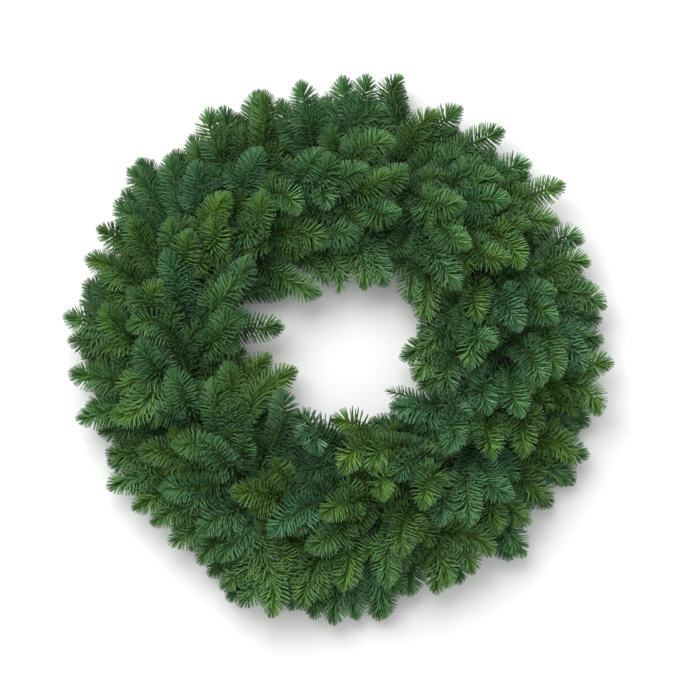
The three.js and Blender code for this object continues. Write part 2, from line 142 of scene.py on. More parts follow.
INNER = (
    (342, 65, 110, 0), (353, 71, 145, 0), (0, 61, 190, 0), (23, 74, 185, 1), (37, 90, 150, -1),
    (58, 98, 175, 0), (72, 100, 190, 1), (97, 72, 250, 0), (111, 92, 215, 1), (115, 100, 250, 0),
    (132, 67, 285, -1), (137, 87, 275, -2), (185, 80, 270, 2), (216, 92, 285, -1), (235, 78, 350, -1),
    (244, 53, 65, 2), (265, 77, 50, 2), (292, 67, 90, 0), (292, 109, 60, -1), (10, 114, 125, -1),
    (11, 133, 85, -1), (55, 151, 135, -1), (63, 149, 145, -1), (98, 147, 188, 0), (111, 135, 160, -1),
    (164, 143, 185, 1), (177, 137, 196, 2), (190, 118, 160, -2), (203, 112, 220, -2), (247, 129, 2, -1),
    (257, 141, 358, 0), (263, 125, 345, 1), (291, 134, 4, 0), (308, 136, 38, 0), (316, 142, 20, -1),
    (355, 119, 115, 1),
)
HOLE_EDGE = 105
HOLE_HEIGHT = 40.0
CROWN_TOP, CROWN_DROP = 100.0, 30  # the height of the crown's buds, and how much lower they are at its edges
CROWN_MIDDLE, CROWN_HALF = 195, 70


def crown_height(reach):
    return CROWN_TOP - CROWN_DROP * ((reach - CROWN_MIDDLE) / CROWN_HALF) ** 2


def inner_height(reach):
    return HOLE_HEIGHT if reach < HOLE_EDGE else crown_height(reach)


# Each kind of spray: its stem's place in the clamp, how far ahead of its clamp its tips are, and its layers of shoots,
# each with its rows, the height of its buds, how much that height wanders, and the slope of its last stretch.
KINDS = {
    "outer_spray": {
        "stem_out": STEM_OUT,
        "stem_z": STEM_Z,
        "lead": 25,
        "layers": ((RIM_OVER, lambda reach: 48.0, 16, 3), (RIM_UNDER, lambda reach: 25.0, 6, -2)),
    },
    "inner_spray": {
        "stem_out": -STEM_OUT,
        "stem_z": STEM_Z,
        "lead": 40,
        "layers": ((INNER, inner_height, 16, -4),),
    },
    "crown_spray": {
        "stem_out": 0.0,
        "stem_z": CROWN_STEM_Z,
        "lead": 33,
        "layers": ((CROWN, crown_height, 16, 12),),
    },
}

UP = np.array((0.0, 0.0, 1.0))


def on_clock(clock, radius, z):
    angle = math.radians(clock)
    return np.array((radius * math.sin(angle), radius * math.cos(angle), z))


def towards(heading, slope):
    rise = math.radians(slope)
    return on_clock(heading, math.cos(rise), math.sin(rise))


def unit(vector):
    return vector / np.linalg.norm(vector)


def mix(a, b, share):
    return a + (b - a) * share


class Draws:
    """The part's own random numbers, so that both place each bud at the same height."""

    def __init__(self, seed):
        self.state = seed

    def next(self):
        self.state = (self.state * DRAW_FACTOR + DRAW_STEP) % DRAW_RANGE
        return self.state / DRAW_RANGE


class Bend:
    """The bent stretch of a shoot: a cubic curve from its foot to its bud."""

    def __init__(self, foot, foot_direction, bud, bud_direction, lift):
        end = bud + UP * lift
        chord = np.linalg.norm(end - foot)
        start = foot + foot_direction * (chord * BEND_START) + UP * (lift * FOOT_LIFT)
        self.handles = (foot, start, end - bud_direction * (chord * BEND_END), end)

    def point(self, t):
        a, b, c, d = self.handles
        return a * (1 - t) ** 3 + b * 3 * t * (1 - t) ** 2 + c * 3 * t**2 * (1 - t) + d * t**3

    def tangent(self, t):
        a, b, c, d = self.handles
        return unit((b - a) * (1 - t) ** 2 + (c - b) * 2 * t * (1 - t) + (d - c) * t**2)

    def points(self, steps):
        return [self.point(i / steps) for i in range(steps + 1)]


# === Laying the shoots clear of each other ===


class Rods:
    """Everything that is already in the way, as short round rods that each belong to a node."""

    def __init__(self):
        self.starts, self.ends, self.radii, self.nodes = [], [], [], []

    def add(self, node, points, radii):
        for i in range(len(points) - 1):
            self.starts.append(points[i])
            self.ends.append(points[i + 1])
            self.radii.append(max(radii[i], radii[i + 1]))
            self.nodes.append(node)

    def clear(self, node, points, radii, gap):
        others = np.array([name != node for name in self.nodes])
        c = np.array(self.starts)[others][None]
        v = np.array(self.ends)[others][None] - c
        points = np.array(points)
        a = points[:-1][:, None]
        u = points[1:][:, None] - a
        w = a - c
        uu, vv, uv = (u * u).sum(-1), (v * v).sum(-1), (u * v).sum(-1)
        uw, vw = (u * w).sum(-1), (v * w).sum(-1)
        crossed = uu * vv - uv * uv
        apart = crossed > PARALLEL
        s = np.where(apart, np.clip((uv * vw - vv * uw) / np.where(apart, crossed, 1), 0, 1), 0)
        t = (uv * s + vw) / vv
        past = (t < 0) | (t > 1)
        t = np.clip(t, 0, 1)
        s = np.where(past, np.clip((uv * t - uw) / uu, 0, 1), s)
        distance = np.linalg.norm(w + u * s[..., None] - v * t[..., None], axis=-1)
        own = np.maximum(radii[:-1], radii[1:])[:, None]
        return bool((distance >= own + np.array(self.radii)[others][None] + gap).all())


def clamp_chain():
    """Evenly spaced points along a clamp's wire, x outwards and z up, in its own plane."""
    low = CLAMP_WIRE / 2
    half = [
        (-CLAMP_MOUTH / 2, CLAMP_TOP),
        (-CLAMP_HALF + CLAMP_CORNER, CLAMP_TOP),
        (-CLAMP_HALF, CLAMP_TOP - CLAMP_CORNER),
        (-CLAMP_HALF, low + CLAMP_CORNER),
        (-CLAMP_HALF + CLAMP_CORNER, low),
    ]
    stops = half + [(-x, z) for x, z in reversed(half)]
    t = np.linspace(0, 1, CLAMP_FINE)[:, None]
    stretches = []
    for (ax, az), (bx, bz) in zip(stops, stops[1:]):
        middle = ((ax + bx) / 2, (az + bz) / 2)
        if ax != bx and az != bz:
            middle = (math.copysign(CLAMP_HALF, ax), CLAMP_TOP if az > CLAMP_TOP / 2 else low)
        a, m, b = np.array(((ax, az), middle, (bx, bz)))
        stretches.append(a * (1 - t) ** 2 + m * 2 * t * (1 - t) + b * t**2)
    fine = np.concatenate(stretches)
    run = np.concatenate(([0], np.cumsum(np.linalg.norm(np.diff(fine, axis=0), axis=1))))
    at = np.linspace(0, run[-1], CLAMP_STEPS + 1)
    return np.column_stack([np.interp(at, run, values) for values in fine.T])


def stem_points(kind, bunch, clocks):
    middle = bunch * BUNCH_CLOCK
    return [on_clock(middle + ahead, RING_RADIUS + kind["stem_out"], kind["stem_z"]) for ahead in clocks]


def numbered(name, bunch):
    return f"{name}_{bunch + 1:02d}"


class Laying:
    """Lays every shoot of the wreath, bunch by bunch, as near its own height as the others let it."""

    def __init__(self):
        self.rods = Rods()
        self.add_ring_and_clamps()
        plans = {name: self.plan(kind, draws) for draws in [Draws(SEED)] for name, kind in KINDS.items()}
        for name, kind in KINDS.items():
            for bunch in range(BUNCHES):
                stem = stem_points(kind, bunch, (*STEM_CLOCKS, FOOT_CLOCK))
                self.rods.add(numbered(name, bunch), stem, [STEM_RADIUS] * len(stem))
        self.sprays = {}
        for bunch in range(BUNCHES):
            for name, kind in KINDS.items():
                self.sprays[numbered(name, bunch)] = self.lay_spray(name, kind, bunch, plans[name][bunch])

    def add_ring_and_clamps(self):
        ring = [on_clock(90 - 360 * i / RING_STEPS, RING_RADIUS, RING_Z) for i in range(RING_STEPS + 1)]
        self.rods.add("wire_ring", ring, [RING_WIRE / 2] * len(ring))
        for bunch in range(BUNCHES):
            points = [on_clock(bunch * BUNCH_CLOCK, RING_RADIUS + x, z) for x, z in clamp_chain()]
            self.rods.add(numbered("clamp", bunch), points, [CLAMP_WIRE / 2] * len(points))

    @staticmethod
    def plan(kind, draws):
        plans = [[] for _ in range(BUNCHES)]
        for rows, height, wander, slope in kind["layers"]:
            for clock, reach, heading, tone in rows:
                direction = towards(heading, slope)
                bud = on_clock(clock, reach, height(reach) + wander * (draws.next() - 0.5))
                bunch = math.floor((clock - kind["lead"]) % 360 / BUNCH_CLOCK + 0.5) % BUNCHES
                vigour = WEAK_SHOOTS.get((clock, reach), 1.0)
                shoot = {"direction": direction, "tone": tone, "vigour": vigour}
                plans[bunch].append({"bud": bud - direction * BUD_NEEDLE, **shoot})
        return plans

    def lay_shoot(self, node, shoot, foot, foot_direction, before, foot_radius, steps):
        radii = [foot_radius] * len(before) + [mix(foot_radius, TWIG_RADIUS, i / steps) for i in range(steps + 1)]
        for i in range(LIFT_TRIES):
            lift = LIFT_STEP * math.ceil(i / 2) * (1 if i % 2 else -1)
            if shoot["bud"][2] + lift < LOWEST_BUD:
                continue
            bend = Bend(foot, foot_direction, shoot["bud"], shoot["direction"], lift)
            points = [*before, *bend.points(steps)]
            if self.rods.clear(node, points, radii, TWIG_GAP):
                self.rods.add(node, points, radii)
                return {**shoot, "bend": bend, "points": points, "foot_radius": foot_radius}
        return None

    def lay_branch(self, node, shoot, leader):
        def miss(share):
            return abs(np.linalg.norm(leader["bend"].point(share) - shoot["bud"]) - BRANCH_LENGTH)

        chain = leader["points"][-LEADER_STEPS - 1 :]
        shares = [(i + FORK_IN_STEP) / LEADER_STEPS for i in range(FORK_STEPS)]
        for share in sorted(shares, key=miss):
            i = math.floor(share * LEADER_STEPS)
            fork = mix(chain[i], chain[i + 1], share * LEADER_STEPS - i)
            along = unit(shoot["bud"] - fork)
            foot_direction = unit(along + leader["bend"].tangent(share) * FORK_FOLLOW)
            foot_radius = mix(STEM_RADIUS, TWIG_RADIUS, share) - FORK_STEP_DOWN
            branch = self.lay_shoot(node, shoot, fork, foot_direction, [], foot_radius, BRANCH_STEPS)
            if branch:
                return {**branch, "share": share}
        raise RuntimeError(f"no room for a shoot of {node}")

    def lay_spray(self, name, kind, bunch, plan):
        node = numbered(name, bunch)
        *stem, foot = stem_points(kind, bunch, (*STEM_CLOCKS, FOOT_CLOCK))
        main, *others = sorted(plan, key=lambda shoot: -np.linalg.norm(shoot["bud"] - foot))
        foot_direction = towards(bunch * BUNCH_CLOCK + FOOT_CLOCK + 90, 0)
        leader = self.lay_shoot(node, main, foot, foot_direction, stem, STEM_RADIUS, LEADER_STEPS)
        return [leader] + [self.lay_branch(node, shoot, leader) for shoot in others]


# === From the plan to leafy twigs, in millimetres and degrees ===

STEM_POINTS = 8
BEND_POINTS = 22
SIDE_POINTS = 7
BARE_SHARE = {"leader": 0.34, "branch": 0.16, "side": 0.08}  # of a twig's points, from its foot
TIP_RADIUS = 0.8
TIP_AHEAD = 2.5  # how far a shoot's own tip is ahead of its planned bud
SHADE_SPREAD = 0.13  # how much lighter or darker than the others a shoot may be
WEAK_SHOOTS = {(132, 67): 0.62, (0, 61): 0.8, (353, 71): 0.84}  # the clock angle and reach of each, and its vigour
SIDE_WHORLS = (44.0, 74.0, 105.0, 136.0)  # how far behind a shoot's bud its pairs of side shoots stand
SIDE_LENGTH = 0.64  # of that distance
SIDE_LENGTH_SPREAD = (0.8, 1.15)
SIDE_LONGEST = 62.0
SIDE_SHORTEST = 18.0
SIDE_ANGLE = 48.0
SIDE_ANGLE_SPREAD = 7.0
SIDE_TURN = 14.0  # how much a side shoot bends forward on its way
SIDE_SINK = 0.16  # how much it slopes down
SIDE_SINK_SPREAD = (0.4, 2.0)
SIDE_TONE_SPREAD = 0.5
SIDE_KEPT = 0.92
SIDE_VIGOUR = 0.92
SIDE_RADIUS = 1.1
RIM_MARGIN = 16.0
HOLE_MARGIN = 18.0
FLOOR_MARGIN = 6.0
LOW_STRAY = 0.3
LOW_HEIGHT = (13.0, 28.0)
LOW_FOOT = (0.1, 0.3)  # as a share of the leader's bend
LOW_TONE = (-2, 1)
LOW_VIGOUR = 1.1

# Notches that the photo's lower shoots fill: the clock angle and the reach of the bud in each.
RIM_NOTCHES = (
    (83, 285), (106, 283), (119, 293), (126, 286), (140, 294), (152, 285), (163, 276), (171, 296), (190, 286),
    (203, 296), (209, 281), (284, 284), (306, 288), (313, 298), (320, 278), (325, 280), (334, 290), (342, 294),
    (80, 278), (125, 272), (216, 268), (243, 276), (256, 279), (263, 275), (271, 279), (278, 272), (290, 277),
    (34, 262), (38, 272), (42, 266), (47, 280), (51, 268), (60, 264), (129, 270), (104, 276), (98, 272), (89, 280),
)
HOLE_NOTCHES = (
    (80, 102), (91, 99), (145, 102), (151, 97), (158, 100), (167, 100), (173, 98), (186, 104), (201, 106), (214, 106),
    (266, 114), (178, 106), (194, 108), (8, 112), (354, 122),
)
# Pockets where the photo's foliage stays back: the clock angle, half the width in degrees, and the reach of the edge.
RIM_POCKETS = ((18, 5, 268), (41, 4, 291), (57, 4, 275), (101, 5, 293), (137, 4, 294), (149, 4, 282), (159, 4, 277))
HOLE_POCKETS = (
    (299, 9, 104), (67, 7, 100), (224, 6, 90), (118, 6, 94), (274, 7, 94), (354, 5, 96), (333, 5, 94),
)


def edge_of(rows, pockets, tighter):
    """How far the foliage's edge is from the centre, at any clock angle, from its tips and pockets."""
    clocks, reaches = np.array(sorted((clock, reach) for clock, reach, _, _ in rows), float).T

    def edge(clock):
        reach = np.interp(clock, clocks, reaches, period=360)
        for middle, half, pocket in pockets:
            if abs((clock - middle + 180) % 360 - 180) < half:
                reach = tighter(reach, pocket)
        return reach

    return edge


rim_reach = edge_of(RIM_OVER + RIM_UNDER, RIM_POCKETS, min)
hole_reach = edge_of([row for row in INNER if row[1] < HOLE_EDGE], HOLE_POCKETS, max)

# The low shoots of each outer and inner spray: how many, how far ahead of its clamp, how far in from the foliage's edge
# or out from the hole's, how much further round than their own clock angle they head, and the notches they fill.
LOW = {
    "outer_spray": {
        "count": 5, "lead": 12, "edge": rim_reach, "depth": (-40, -18), "turn": 16, "notches": RIM_NOTCHES,
    },
    "inner_spray": {
        "count": 3, "lead": 16, "edge": hole_reach, "depth": (24, 58), "turn": 140, "notches": HOLE_NOTCHES,
    },
}


def inside_edges(tip):
    """True where a side shoot's tip neither fills the hole nor stands out past the rim."""
    clock = math.degrees(math.atan2(tip[0], tip[1])) % 360
    reach = math.hypot(tip[0], tip[1])
    return hole_reach(clock) + HOLE_MARGIN < reach < rim_reach(clock) - RIM_MARGIN and tip[2] > FLOOR_MARGIN


def axis(points, radii, bare, tone, vigour, shade):
    """One twig: its points in millimetres, with what its needles need to know at each."""
    points = np.array(points)
    steps = np.linalg.norm(np.diff(points, axis=0), axis=1)
    run = np.concatenate(([0], np.cumsum(steps)))
    return {
        "points": points,
        "radius": np.array(radii),
        "from_tip": run[-1] - run,
        "leafy": (np.arange(len(points)) >= bare).astype(float),
        "tone": np.full(len(points), float(tone)),
        "vigour": np.full(len(points), float(vigour)),
        "shade": np.full(len(points), float(shade)),
    }


def main_axis(shoot, leader, kind, bunch, random):
    """The twig of a shoot itself. A branch's foot is moved onto its leader's smooth line."""
    bend = shoot["bend"]
    before, bare = [], BARE_SHARE["branch"] * BEND_POINTS
    if shoot is leader:
        clocks = np.linspace(STEM_CLOCKS[0], FOOT_CLOCK, STEM_POINTS, endpoint=False)
        before, bare = stem_points(kind, bunch, clocks), STEM_POINTS + BARE_SHARE["leader"] * BEND_POINTS
    else:
        foot, start, *rest = bend.handles
        moved = leader["bend"].point(shoot["share"])
        bend.handles = (moved, start + moved - foot, *rest)
    grown = bend.points(BEND_POINTS)
    points = [*before, *grown, grown[-1] + bend.tangent(1) * TIP_AHEAD]
    radii = [shoot["foot_radius"]] * len(before) + list(np.linspace(shoot["foot_radius"], TIP_RADIUS, BEND_POINTS + 2))
    shade = mix(-SHADE_SPREAD, SHADE_SPREAD, random.random())
    return axis(points, radii, bare, shoot["tone"], shoot["vigour"], shade)


def side_axes(main, tone, random):
    """Pairs of side shoots, in whorls behind the bud, as a fir's yearly growth leaves them."""
    axes = []
    bent, from_tip, radius = (main[key][-BEND_POINTS - 1 :] for key in ("points", "from_tip", "radius"))
    for whorl in SIDE_WHORLS:
        if whorl > from_tip[0] - SIDE_SHORTEST:
            continue
        i = int(np.argmin(abs(from_tip - whorl)))
        forward = unit(bent[min(i + 1, BEND_POINTS)] - bent[i - 1])
        across = unit(np.cross(forward, UP))
        for hand in (-1, 1):
            kept, reach, turn, sink = random.random(4)
            length = min(SIDE_LENGTH * whorl, SIDE_LONGEST) * mix(*SIDE_LENGTH_SPREAD, reach)
            angle = math.radians(SIDE_ANGLE + mix(-SIDE_ANGLE_SPREAD, SIDE_ANGLE_SPREAD, turn))
            turned = angle - math.radians(SIDE_TURN)
            out = forward * math.cos(angle) + across * (hand * math.sin(angle))
            ahead = forward * math.cos(turned) + across * (hand * math.sin(turned))
            out = unit(out - UP * (SIDE_SINK * mix(*SIDE_SINK_SPREAD, sink)))
            tip = bent[i] + (out + ahead) * (length / 2)
            if kept > SIDE_KEPT or not inside_edges(tip):
                continue
            bend = Bend(bent[i], out, tip, unit(ahead), 0)
            radii = np.linspace(min(SIDE_RADIUS, radius[i]), TIP_RADIUS, SIDE_POINTS + 1)
            bare = BARE_SHARE["side"] * SIDE_POINTS
            side_tone = tone + mix(-SIDE_TONE_SPREAD, SIDE_TONE_SPREAD, turn)
            shade = mix(-SHADE_SPREAD, SHADE_SPREAD, sink)
            axes.append(axis(bend.points(SIDE_POINTS), radii, bare, side_tone, SIDE_VIGOUR, shade))
    return axes


def low_axes(name, leader, bunch, random):
    """Low shoots under the ones that show, so that no floor shows between their needles."""
    low = LOW[name]
    count, ahead = low["count"], bunch * BUNCH_CLOCK + low["lead"]
    strays = mix(-LOW_STRAY, LOW_STRAY, random.random(count))
    clocks = [ahead + (i + stray) * BUNCH_CLOCK / count for i, stray in enumerate(strays)]
    spots = [(clock, low["edge"](clock % 360) + mix(*low["depth"], random.random())) for clock in clocks]
    spots += [notch for notch in low["notches"] if (notch[0] - ahead) % 360 < BUNCH_CLOCK]
    axes = []
    for clock, reach in spots:
        place, height, tone = random.random(3)
        tip = on_clock(clock, reach, mix(*LOW_HEIGHT, height))
        foot = leader["bend"].point(mix(*LOW_FOOT, place))
        bend = Bend(foot, unit(tip - foot), tip, towards(clock + low["turn"], 0), 0)
        radii = np.linspace(SIDE_RADIUS, TIP_RADIUS, BEND_POINTS + 1)
        bare = BARE_SHARE["branch"] * BEND_POINTS
        axes.append(axis(bend.points(BEND_POINTS), radii, bare, mix(*LOW_TONE, tone), LOW_VIGOUR, 0.0))
    return axes


def spray_axes(node, laying):
    name, number = node.rsplit("_", 1)
    bunch = int(number) - 1
    random = np.random.default_rng((list(KINDS).index(name), bunch))
    shoots = laying.sprays[node]
    axes = []
    for shoot in shoots:
        main = main_axis(shoot, shoots[0], KINDS[name], bunch, random)
        axes += [main, *side_axes(main, shoot["tone"], random)]
    return axes + (low_axes(name, shoots[0], bunch, random) if name in LOW else [])


def line_object(name, axes):
    """All twigs of a spray as one mesh of edges, each point carrying its twig's values."""
    starts = np.cumsum([0] + [len(a["points"]) for a in axes])
    edges = [(i, i + 1) for first, last in zip(starts, starts[1:]) for i in range(first, last - 1)]
    mesh = bpy.data.meshes.new(name)
    mesh.from_pydata(np.concatenate([a["points"] for a in axes]) * MM, edges, [])
    for key, scale in TWIG_VALUES.items():
        values = np.concatenate([a[key] for a in axes]) * scale
        mesh.attributes.new(key, "FLOAT", "POINT").data.foreach_set("value", values)
    lines = bpy.data.objects.new(name, mesh)
    bpy.context.scene.collection.objects.link(lines)
    return lines


# === Node trees, in metres and radians ===

TWIG_VALUES = {"radius": MM, "from_tip": MM, "leafy": 1, "tone": 1, "vigour": 1, "shade": 1}  # and their scales
WORKING_VALUES = (*TWIG_VALUES, "column", "is needle", "is bud")  # needed only while the tree runs
UV = "OFBake"  # a palette: one column for each colour of needle, running from root to point
COLUMNS = 64
TONES, SHADES = 7, 8
BARK_COLUMN, YOUNG_BARK, BUD_COLUMN = 56, 58, 60  # after the needles' own
COLUMN_MARGIN, COLUMN_FILLED = 0.15, 0.7
TWIG_SIDES = 6
NEEDLE_POINTS = 3
NEEDLE_SIDES = 3
NEEDLE_BEND = 0.14
NEEDLE_FLATNESS = 0.5
NEEDLE_ENDS = ((0, 0.6), (1, 0.5))  # how wide it is there, as a share of its full width
NEEDLE_MIDDLE = ((0.3, 1.0), (0.7, 1.0))
MERGED = 1e-6
BUDS = ((1.0, (0, 0, 0.35), 0.0), (0.7, (0.24, 0, 0.12), 0.6), (0.7, (-0.24, 0, 0.12), -0.6))  # size, place, lean
BUD_GIRTH = 0.55
BUD_MOTTLE = 120.0
ROWS = 9  # of needles round a twig
ROW_STEP = 4.0  # rows from one needle to the next
# Ramps along a twig: two distances from its tip, and what a needle's value is at each.
SHED = (0.06, 0.12, 0.0, 0.5)  # share of needles that have dropped
BESIDE_BUD = (0.0, 0.011, 1.0, 0.0)
TIP_SIZE = (0.0, 0.014, 0.68, 1.0)
TIP_TONE = (0.0, 0.022, 0.6, 0.0)
TIP_SHADE = (0.0, 0.08, 0.3, -0.05)
# Other ramps of a needle's values: by how far round its twig it stands, and by its height. The two shade ramps are
# painted shade: paler on top of a twig, darker under it and low over the floor.
TURN_LEAN = (0.75, 1.0)
# painted shade: the rows on top of a twig paler, the rows under it darker
PAINTED_ROW_SHADE = (-0.3, 0.4, 0.0, 0.3)
# painted shade: needles darker the lower they stand over the floor
PAINTED_LOW_SHADE = (0.02, 0.1, -0.14, 0.0)
CROWDED, CROWD, CROWD_VIGOUR = 0.01, 2, 0.95  # how near a strong twig's tip more needles stand, and how many
STRAY, STRAY_ON_TOP, STRAY_AT_BUD = 0.15, 0.3, 0.4
LEAN_SPREAD = (-0.06, 0.06)
SIZE_SPREAD = (0.94, 1.05)
TONE_SPREAD = (-0.5, 0.5)
TONE_RANGE = (-2.5, 2.5)
NEEDLE_SHADES = (-0.05, 0.5)
LEFT_OVER = 0.01  # keeps the highest value in the last column
NODES_ABREAST, NODE_STEP = 24, (190, -260)


class Wiring:
    """Fills a node tree by short calls: each adds a node, sets it, and joins or fills its inputs."""

    def __init__(self, tree):
        self.tree = tree

    def add(self, kind, inputs=None, **settings):
        node = self.tree.nodes.new(kind)
        row, column = divmod(len(self.tree.nodes), NODES_ABREAST)
        node.location = (column * NODE_STEP[0], row * NODE_STEP[1])
        for name, value in settings.items():
            setattr(node, name, value)
        for key, value in (inputs or {}).items():
            self.feed(node.inputs[key], value)
        return node

    def out(self, kind, inputs=None, **settings):
        return self.add(kind, inputs, **settings).outputs[0]

    def feed(self, socket, value):
        if isinstance(value, bpy.types.NodeSocket):
            self.tree.links.new(value, socket)
        else:
            socket.default_value = value

    def maths(self, operation, a, b=0.0, c=0.0):
        return self.out("ShaderNodeMath", {0: a, 1: b, 2: c}, operation=operation)

    def plus(self, total, *others):
        for other in others:
            total = self.maths("ADD", total, other)
        return total

    def times(self, a, b):
        return self.maths("MULTIPLY", a, b)

    def vector(self, operation, a, b=(0, 0, 0)):
        return self.out("ShaderNodeVectorMath", {0: a, 1: b}, operation=operation)

    def scaled(self, vector, scale):
        return self.out("ShaderNodeVectorMath", {0: vector, "Scale": scale}, operation="SCALE")

    def xyz(self, x, y, z):
        return self.out("ShaderNodeCombineXYZ", {0: x, 1: y, 2: z})

    def split(self, vector):
        return self.add("ShaderNodeSeparateXYZ", {0: vector}).outputs

    def ramp(self, value, low, high, out_low=0.0, out_high=1.0):
        return self.out("ShaderNodeMapRange", {"Value": value, 1: low, 2: high, 3: out_low, 4: out_high})

    def mix(self, share, a, b):
        return self.add("ShaderNodeMix", {0: share, 6: a, 7: b}, data_type="RGBA").outputs[2]

    def bump(self, height, strength, distance):
        return self.out("ShaderNodeBump", {"Height": height, "Strength": strength, "Distance": distance})

    def attribute(self, name):
        return self.out("GeometryNodeInputNamedAttribute", {"Name": name}, data_type="FLOAT")

    def store(self, geometry, name, value, domain, data_type="FLOAT"):
        inputs = {"Geometry": geometry, "Name": name, "Value": value}
        return self.out("GeometryNodeStoreNamedAttribute", inputs, domain=domain, data_type=data_type)

    def capture(self, geometry, value, kind="FLOAT"):
        node = self.add("GeometryNodeCaptureAttribute", {"Geometry": geometry}, domain="POINT")
        node.capture_items.new(kind, "Value")
        self.feed(node.inputs[1], value)
        return node.outputs[0], node.outputs[1]

    def join(self, *pieces):
        node = self.add("GeometryNodeJoinGeometry")
        for piece in pieces:
            self.feed(node.inputs[0], piece)
        return node.outputs[0]


def group_input(tree, name, kind="NodeSocketFloat", default=None):
    socket = tree.interface.new_socket(name=name, in_out="INPUT", socket_type=kind)
    if default is not None:
        socket.default_value = default


def draw(w, given, number, low, high):
    """A random value for each needle, different for each number."""
    inputs = {2: low, 3: high, "Seed": w.plus(given["Seed"], number)}
    return w.add("FunctionNodeRandomValue", inputs, data_type="FLOAT").outputs[1]


def circle(w, sides):
    return w.out("GeometryNodeCurvePrimitiveCircle", {"Resolution": sides, "Radius": 1.0})


def tube_of(w, path, profile, radius):
    """A closed tube round a path. Gives the mesh, and fields that run along it and around it."""
    path, along = w.capture(path, w.out("GeometryNodeSplineParameter"))
    profile, around = w.capture(profile, w.out("GeometryNodeSplineParameter"))
    inputs = {"Curve": path, "Profile Curve": profile, "Scale": radius, "Fill Caps": True}
    return w.out("GeometryNodeCurveToMesh", inputs), along, around


def coloured(w, geometry, column, around, along):
    """Gives each point of a piece its place in the palette, by its column and its place around and along the piece."""
    across = w.maths("MULTIPLY_ADD", around, COLUMN_FILLED, COLUMN_MARGIN)
    u = w.maths("DIVIDE", w.plus(column, across), COLUMNS)
    return w.store(geometry, UV, w.xyz(u, along, 0), "CORNER", "FLOAT2")


def needle_shape(w, length, width):
    """One needle: flat, three-sided, bent forward and narrower at its ends, standing on its root along Z."""
    line = w.out("GeometryNodeCurvePrimitiveLine", {"Start": (0, 0, 0), "End": w.xyz(0, 0, length)})
    path = w.out("GeometryNodeResampleCurve", {"Curve": line, "Count": NEEDLE_POINTS})
    along = w.out("GeometryNodeSplineParameter")
    bent = w.times(w.times(along, along), w.times(length, NEEDLE_BEND))
    path = w.out("GeometryNodeSetPosition", {"Geometry": path, "Offset": w.xyz(bent, 0, 0)})
    inputs = {"Geometry": circle(w, NEEDLE_SIDES), "Scale": (NEEDLE_FLATNESS, 1, 1)}
    flat = w.out("GeometryNodeTransform", inputs)
    fullness = w.add("ShaderNodeFloatCurve", {"Value": along})
    curve = fullness.mapping.curves[0]
    for point, place in zip(curve.points, NEEDLE_ENDS):
        point.location = place
    for place in NEEDLE_MIDDLE:
        curve.points.new(*place)
    fullness.mapping.update()
    radius = w.times(fullness.outputs[0], w.times(width, 0.5))
    mesh, along, around = tube_of(w, path, flat, radius)
    return w.out("GeometryNodeMergeByDistance", {"Geometry": mesh, "Distance": MERGED}), along, around


def bud_shape(w, length):
    """A cluster of three buds, the middle one longest."""
    ball = w.out("GeometryNodeMeshUVSphere", {"Segments": 6, "Rings": 4, "Radius": 0.5})
    buds = []
    for size, place, lean in BUDS:
        scale = w.scaled((BUD_GIRTH * size, BUD_GIRTH * size, size), length)
        inputs = {"Geometry": ball, "Translation": w.scaled(place, length), "Rotation": (0, lean, 0), "Scale": scale}
        buds.append(w.out("GeometryNodeTransform", inputs))
    return w.join(*buds)


def bark_on(w, curves):
    mesh, along, around = tube_of(w, curves, circle(w, TWIG_SIDES), w.attribute("radius"))
    young = w.maths("GREATER_THAN", w.attribute("leafy"), 0.5)
    column = w.maths("MULTIPLY_ADD", young, YOUNG_BARK - BARK_COLUMN, BARK_COLUMN)
    return coloured(w, mesh, column, around, along)


def buds_on(w, given, curves):
    tips = w.out("GeometryNodeCurveEndpointSelection", {"Start Size": 0, "End Size": 1})
    align = {"Vector": w.out("GeometryNodeInputTangent")}
    turned = w.out("FunctionNodeAlignRotationToVector", align, axis="Z")
    inputs = {"Points": curves, "Selection": tips, "Instance": bud_shape(w, given["Bud Length"]), "Rotation": turned}
    buds = w.out("GeometryNodeInstanceOnPoints", inputs)
    buds = w.out("GeometryNodeRealizeInstances", {"Geometry": buds})
    spot = w.split(w.vector("FRACTION", w.scaled(w.out("GeometryNodeInputPosition"), BUD_MOTTLE)))
    buds = coloured(w, buds, BUD_COLUMN, spot[0], spot[2])
    return w.store(buds, "is bud", 1.0, "FACE")


def leafy_points(w, given, curves):
    """The points along the twigs where a needle stands, and the twig's direction at each."""
    spaced = w.add("GeometryNodeCurveToPoints", {"Curve": curves, "Length": given["Needle Spacing"]}, mode="LENGTH")
    points, tangent = w.capture(spaced.outputs["Points"], spaced.outputs["Tangent"], "VECTOR")
    from_tip = w.attribute("from_tip")
    shed = w.maths("LESS_THAN", draw(w, given, 6, 0.0, 1.0), w.ramp(from_tip, *SHED))
    bare = w.maths("MAXIMUM", shed, w.maths("LESS_THAN", w.attribute("leafy"), 0.5))
    points = w.out("GeometryNodeDeleteGeometry", {"Geometry": points, "Selection": bare})
    strong = w.maths("GREATER_THAN", w.attribute("vigour"), CROWD_VIGOUR)
    crowded = w.times(w.maths("LESS_THAN", from_tip, CROWDED), strong)
    inputs = {"Geometry": points, "Selection": crowded, "Amount": CROWD}
    extra = w.out("GeometryNodeDuplicateElements", inputs, domain="POINT")
    return w.join(extra, points), tangent


